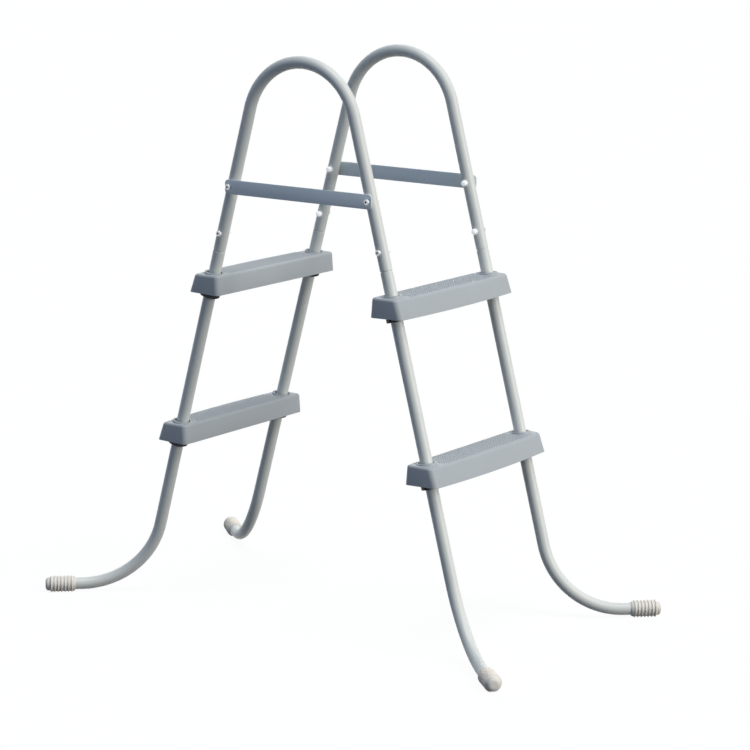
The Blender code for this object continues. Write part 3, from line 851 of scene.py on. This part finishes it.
def rib_tool(tube, step, index):
    """Cross rib that reaches half way into the walls of a step."""
    sink = step.wall / 2
    middle = tube.rail_spacing * ((index + 1) / (step.rib_count + 1) - 0.5)
    shape = bmesh.new()
    size = Vector((step.rib_thickness, step.front, step.height - step.rib_recess - sink))
    place = Matrix.Translation((middle, 0, -sink - size.z / 2))
    bmesh.ops.create_cube(shape, size=1.0, matrix=place @ Matrix.LocRotScale(None, None, size))
    for point in shape.verts:
        front, back = step_outline(step, middle, -point.co.z)
        point.co.y = sink - front if point.co.y < 0 else back - sink
    return to_mesh("rib", shape)


def merged(context, skin, wall, tools):
    """Give a skin its wall and join or cut it with tools, each a mesh and an operation."""
    base = bpy.data.objects.new("working", skin)
    context.scene.collection.objects.link(base)
    add_wall(base, wall)
    used = []
    for mesh, operation in tools:
        tool = bpy.data.objects.new("tool", mesh)
        context.scene.collection.objects.link(tool)
        boolean = base.modifiers.new("tool", "BOOLEAN")
        boolean.operation = operation
        boolean.solver = "EXACT"
        boolean.object = tool
        used.append(tool)
    context.view_layer.update()
    result = bpy.data.meshes.new_from_object(base.evaluated_get(context.evaluated_depsgraph_get()))
    for tool in used + [base]:
        bpy.data.objects.remove(tool, do_unlink=True)
    return result


def add_nubs(tube, step, shape):
    """Set staggered rows of low nubs on the tread between the collars."""
    reach = tube.rail_spacing / 2 - step.socket_radius - step.nub_clearance
    sink = step.nub_height * NUB_SINK
    columns = int(reach / step.nub_pitch)
    rows = int((step.front + step.bow + step.back) / step.nub_row)
    for row in range(rows):
        across = step.back - step.nub_margin - row * step.nub_row
        shift = step.nub_pitch / 2 if row % 2 else 0.0
        for column in range(-columns, columns + 1):
            along = column * step.nub_pitch + shift
            front, _ = step_outline(step, along, 0.0)
            if abs(along) > reach or across < step.nub_margin - front:
                continue
            place = Matrix.Translation((along, across, step.nub_height / 2 - sink))
            bmesh.ops.create_cone(
                shape,
                cap_ends=True,
                segments=NUB_SIDES,
                radius1=step.nub_radius,
                radius2=step.nub_radius * NUB_TOP,
                depth=step.nub_height,
                matrix=place,
            )


def step_mesh(context):
    """Moulded step at the origin: bowed shell, ribs, sockets and nubs."""
    tube = context.scene.ladder_tube
    step = context.scene.ladder_step
    low = -step.height / math.cos(tube.lean)
    high = step.collar_rise
    soft = step.collar_round
    collar = crown(step.socket_radius, step.socket_radius - soft, high - soft, high)
    collar = [(0, high)] + collar + [(step.socket_radius, low), (0, low)]
    bore = [(0, high + soft), (step.socket_bore + 2 * soft, high + soft), (step.socket_bore, high - soft)]
    bore += [(step.socket_bore, low - soft), (0, low - soft)]
    tools = [(rib_tool(tube, step, index), "UNION") for index in range(step.rib_count)]
    tools += [(socket_tool(tube, step, hand, collar), "UNION") for hand in HANDS]
    tools += [(socket_tool(tube, step, hand, bore), "DIFFERENCE") for hand in HANDS]
    mesh = merged(context, to_mesh("step_skin", step_skin(step)), step.wall, tools)
    shape = bmesh.new()
    shape.from_mesh(mesh)
    bmesh.ops.remove_doubles(shape, verts=shape.verts, dist=WELD_DISTANCE)
    add_nubs(tube, step, shape)
    shape.to_mesh(mesh)
    shape.free()
    return mesh


def cap_mesh(foot):
    """Ribbed foot cap along Z from its mouth."""
    total = cap_length(foot)
    nose_radius = foot.core_radius - foot.nose_step
    profile = [(0, total)]
    profile += crown(nose_radius, foot.nose_flat, foot.nose_rim, foot.nose, total - foot.nose)
    profile += [(nose_radius, total - foot.nose)]
    turns = [math.pi * index / RIB_STEPS for index in range(RIB_STEPS + 1)]
    for index in reversed(range(foot.rib_count)):
        middle = foot.lip + (index + 0.5) * foot.rib_pitch
        crest = foot.rib_crest / 2
        shoulder = foot.core_radius + foot.rib_height - crest
        profile += [(foot.core_radius, middle + foot.rib_foot / 2)]
        profile += [(shoulder + crest * math.sin(turn), middle + crest * math.cos(turn)) for turn in turns]
        profile += [(foot.core_radius, middle - foot.rib_foot / 2)]
    profile += [(foot.core_radius, foot.lip), (foot.core_radius - foot.lip_taper, 0), (foot.bore_radius, 0)]
    profile += [(foot.bore_radius, total - foot.end_wall), (0, total - foot.end_wall)]
    return to_mesh("foot_cap", spun(profile, CAP_SIDES))


def stood_on_ground(mesh):
    """Cut a mesh flat at the ground and close it there."""
    shape = bmesh.new()
    shape.from_mesh(mesh)
    bmesh.ops.bisect_plane(
        shape,
        geom=list(shape.verts) + list(shape.edges) + list(shape.faces),
        dist=WELD_DISTANCE,
        plane_co=(0, 0, 0),
        plane_no=(0, 0, 1),
        clear_inner=True,
    )
    bmesh.ops.holes_fill(shape, edges=[edge for edge in shape.edges if edge.is_boundary])
    shape.to_mesh(mesh)
    shape.free()
    return mesh


class LADDER_OT_handrails(bpy.types.Operator):
    """Bend the two arched handrails"""

    bl_idname = "ladder.handrails"
    bl_label = "Handrails"

    def execute(self, context):
        tube = context.scene.ladder_tube
        mesh = handrail_mesh(tube)
        for hand, word in HANDS.items():
            place = Matrix.Translation((hand * tube.rail_spacing / 2, 0, 0))
            node = f"handrail_{word}"
            piece = show(context, f"{word}_handrail", placed(mesh, place), "tube_paint", "frame", node)
            add_wall(piece, tube.wall)
        return {"FINISHED"}


class LADDER_OT_legs(bpy.types.Operator):
    """Bend the four legs"""

    bl_idname = "ladder.legs"
    bl_label = "Legs"

    def execute(self, context):
        tube = context.scene.ladder_tube
        meshes = {hand: leg_mesh(tube, context.scene.ladder_foot, hand) for hand in HANDS}
        for (row, hand), corner in CORNERS.items():
            place = Matrix.Translation((hand * tube.rail_spacing / 2, 0, 0)) @ facing(row)
            mesh = placed(meshes[hand if row == OUTER else -hand], place)
            piece = show(context, f"{corner}_leg", mesh, "tube_paint", "frame", f"leg_{corner}")
            add_wall(piece, tube.wall)
        return {"FINISHED"}


class LADDER_OT_steps(bpy.types.Operator):
    """Mould the four steps"""

    bl_idname = "ladder.steps"
    bl_label = "Steps"

    def execute(self, context):
        tube = context.scene.ladder_tube
        step = context.scene.ladder_step
        mesh = step_mesh(context)
        for level, height in tread_heights(step).items():
            for row, word in ROWS.items():
                place = Matrix.Translation((0, row * leg_offset(tube, height), height)) @ facing(row)
                node = f"{level}_step_{word}"
                show(context, f"{word}_{level}_step", placed(mesh, place), "step_plastic", "frame", node)
        return {"FINISHED"}


class LADDER_OT_bushes(bpy.types.Operator):
    """Mould the split bushes under the steps"""

    bl_idname = "ladder.bushes"
    bl_label = "Step Bushes"

    def execute(self, context):
        tube = context.scene.ladder_tube
        step = context.scene.ladder_step
        mesh = bush_mesh(tube, step, context.scene.ladder_fittings)
        for level, height in tread_heights(step).items():
            for (row, hand), corner in CORNERS.items():
                made = placed(mesh, on_rail(tube, row, hand, height))
                node = f"{level}_step_bush_{corner}"
                show(context, f"{corner}_{level}_bush", made, "bush_plastic", "frame", node)
        return {"FINISHED"}


class LADDER_OT_brace_bars(bpy.types.Operator):
    """Cut the two brace bars"""

    bl_idname = "ladder.brace_bars"
    bl_label = "Brace Bars"

    def execute(self, context):
        tube = context.scene.ladder_tube
        fittings = context.scene.ladder_fittings
        mesh = bar_mesh(tube, fittings)
        out = (tube.rail_spacing + tube.diameter + fittings.bar_thickness) / 2 + FIT_GAP
        for hand, word in HANDS.items():
            place = Matrix.Translation((hand * out, 0, fittings.brace_bolt_height))
            made = placed(mesh, place)
            show(context, f"{word}_brace_bar", made, "brace_paint", "frame", f"brace_bar_{word}")
        return {"FINISHED"}


class LADDER_OT_fasteners(bpy.types.Operator):
    """Fit the bolts and their cap nuts"""

    bl_idname = "ladder.fasteners"
    bl_label = "Bolts and Cap Nuts"

    def execute(self, context):
        tube = context.scene.ladder_tube
        fittings = context.scene.ladder_fittings
        seat = tube.diameter / 2 + FIT_GAP
        brace_seat = seat + fittings.bar_thickness + FIT_GAP
        uses = {
            "joint": (bolt_mesh(tube, fittings, seat), fittings.joint_bolt_height),
            "brace": (bolt_mesh(tube, fittings, brace_seat), fittings.brace_bolt_height),
        }
        nut = nut_mesh(tube, fittings)
        for (row, hand), corner in CORNERS.items():
            for use, (bolt, height) in uses.items():
                place = on_rail(tube, row, hand, height)
                for piece, mesh, slot in (("bolt", bolt, "bolt_zinc"), ("cap_nut", nut, "nut_plastic")):
                    node = f"{use}_{piece}_{corner}"
                    show(context, f"{corner}_{use}_{piece}", placed(mesh, place), slot, "frame", node)
        return {"FINISHED"}


class LADDER_OT_foot_caps(bpy.types.Operator):
    """Push the ribbed caps on the feet"""

    bl_idname = "ladder.foot_caps"
    bl_label = "Foot Caps"

    def execute(self, context):
        tube = context.scene.ladder_tube
        mesh = cap_mesh(context.scene.ladder_foot)
        down = -up_leg(tube)
        for (row, hand), corner in CORNERS.items():
            out = foot_direction(tube, row, hand)
            run = tube.bend_radius * math.tan(down.angle(foot_direction(tube, OUTER, hand)) / 2)
            offset = row * leg_offset(tube, tube.foot_height)
            corner_point = Vector((hand * tube.rail_spacing / 2, offset, tube.foot_height))
            entry = corner_point + out * (run + tube.tail)
            heading = Matrix.Rotation(math.atan2(out.y, out.x), 4, "Z")
            made = placed(mesh, Matrix.Translation(entry) @ heading @ along_x())
            cap = stood_on_ground(made)
            show(context, f"{corner}_foot_cap", cap, "cap_plastic", f"{corner}_cap", f"foot_cap_{corner}")
        return {"FINISHED"}


class LADDER_OT_stage(bpy.types.Operator):
    """Set the pale floor, the soft light and the camera"""

    bl_idname = "ladder.stage"
    bl_label = "Stage"

    def execute(self, context):
        self.set_floor(context)
        self.set_world(context)
        self.set_lights(context)
        self.set_camera(context)
        context.scene.view_settings.view_transform = "Standard"
        return {"FINISHED"}

    def background_rays(self, tree):
        """One for the rays that look at the background, straight on or in a reflection, and else nought."""
        path = add_node(tree, "ShaderNodeLightPath")
        kinds = [path.outputs[f"Is {kind} Ray"] for kind in ("Camera", "Glossy", "Transmission")]
        seen = kinds[0]
        for kind in kinds[1:]:
            either = add_node(
                tree, "ShaderNodeMath", links={"Value": seen, "Value_001": kind}, operation="MAXIMUM"
            )
            seen = either.outputs["Value"]
        return seen

    def set_floor(self, context):
        """Lay a floor that looks pale, keeps the ladder's shadow and isn't sampled as a lamp."""
        shape = bmesh.new()
        bmesh.ops.create_grid(shape, size=FLOOR_REACH, matrix=Matrix.Translation((0, 0, -FIT_GAP)))
        floor = bpy.data.objects.new("floor", to_mesh("floor", shape))
        context.scene.collection.objects.link(floor)
        finish = bpy.data.materials.new("pale_floor")
        finish.use_nodes = True
        finish.cycles.emission_sampling = "NONE"
        tree = finish.node_tree
        shader = tree.nodes["Principled BSDF"]
        shader.inputs["Base Color"].default_value = (*context.scene.ladder_finishes.floor, 1.0)
        shader.inputs["Roughness"].default_value = FLOOR_ROUGHNESS
        shader.inputs["Specular IOR Level"].default_value = 0.0
        glow = add_node(
            tree,
            "ShaderNodeMath",
            {"Value_001": FLOOR_GLOW},
            {"Value": self.background_rays(tree)},
            operation="MULTIPLY",
        )
        shader.inputs["Emission Color"].default_value = WHITE
        tree.links.new(glow.outputs["Value"], shader.inputs["Emission Strength"])
        floor.data.materials.append(finish)

    def set_world(self, context):
        """Show a white surround, and give off a weaker cool light."""
        world = bpy.data.worlds.new("studio")
        world.use_nodes = True
        context.scene.world = world
        tree = world.node_tree
        tree.nodes.clear()
        fill = add_node(
            tree, "ShaderNodeBackground", {"Color": (*linear(FILL_COLOUR), 1.0), "Strength": FILL_STRENGTH}
        )
        white = add_node(tree, "ShaderNodeBackground", {"Color": WHITE, "Strength": 1.0})
        mixed = add_node(
            tree,
            "ShaderNodeMixShader",
            links={
                "Fac": self.background_rays(tree),
                "Shader": fill.outputs["Background"],
                "Shader_001": white.outputs["Background"],
            },
        )
        add_node(tree, "ShaderNodeOutputWorld", links={"Surface": mixed.outputs["Shader"]})

    def set_lights(self, context):
        """Hang soft lamps low and high on the climber's side, one overhead and a low one behind."""
        for name, (azimuth, elevation, strength, code) in LAMPS.items():
            data = bpy.data.lights.new(name, "SUN")
            data.angle = math.radians(LAMP_SPREAD)
            data.energy = strength
            data.color = linear(code)
            lamp = bpy.data.objects.new(name, data)
            tilt, turn = math.radians(90 - elevation), math.radians(90 + azimuth)
            lamp.rotation_euler = (tilt, 0, turn)
            lamp.visible_glossy = name not in GLINTLESS_LAMPS
            context.scene.collection.objects.link(lamp)

    def set_camera(self, context):
        """Look from the outside left, a little above the treads."""
        azimuth, elevation, roll = (math.radians(value) for value in CAMERA_ANGLES)
        aim = Matrix.Rotation(azimuth, 4, "Z") @ Matrix.Rotation(math.pi / 2 - elevation, 4, "X")
        data = bpy.data.cameras.new("photo_view")
        data.sensor_width = CAMERA_SENSOR
        data.lens = CAMERA_LENS
        camera = bpy.data.objects.new("photo_view", data)
        camera.matrix_world = Matrix.Translation(CAMERA_PLACE) @ aim @ Matrix.Rotation(roll, 4, "Z")
        context.scene.collection.objects.link(camera)
        context.scene.camera = camera


class LADDER_PT_pieces(bpy.types.Panel):
    """Lists the ladder's pieces and their sizes"""

    bl_idname = "LADDER_PT_pieces"
    bl_label = "Pool Ladder"
    bl_space_type = "VIEW_3D"
    bl_region_type = "UI"
    bl_category = "Ladder"

    def draw(self, context):
        for operator in OPERATORS:
            self.layout.operator(operator.bl_idname)
        for group, kind in GROUPS.items():
            column = self.layout.column(heading=kind.__doc__)
            for key in kind.__annotations__:
                column.prop(getattr(context.scene, group), key)


OPERATORS = (
    LADDER_OT_stage,
    LADDER_OT_handrails,
    LADDER_OT_legs,
    LADDER_OT_steps,
    LADDER_OT_bushes,
    LADDER_OT_brace_bars,
    LADDER_OT_fasteners,
    LADDER_OT_foot_caps,
)
CLASSES = (*GROUPS.values(), *OPERATORS, LADDER_PT_pieces)


def register():
    """Register the classes and the scene's size groups."""
    for kind in CLASSES:
        bpy.utils.register_class(kind)
    for group, kind in GROUPS.items():
        setattr(bpy.types.Scene, group, PointerProperty(type=kind))


def unregister():
    """Take the size groups and the classes away again."""
    for group in GROUPS:
        delattr(bpy.types.Scene, group)
    for kind in reversed(CLASSES):
        bpy.utils.unregister_class(kind)


def main():
    """Build the ladder on its frame and note its size."""
    register()
    bpy.ops.ladder.stage()
    bpy.ops.ladder.handrails()
    bpy.ops.ladder.legs()
    bpy.ops.ladder.steps()
    bpy.ops.ladder.bushes()
    bpy.ops.ladder.brace_bars()
    bpy.ops.ladder.fasteners()
    bpy.ops.ladder.foot_caps()


if __name__ == "__main__":
    main()
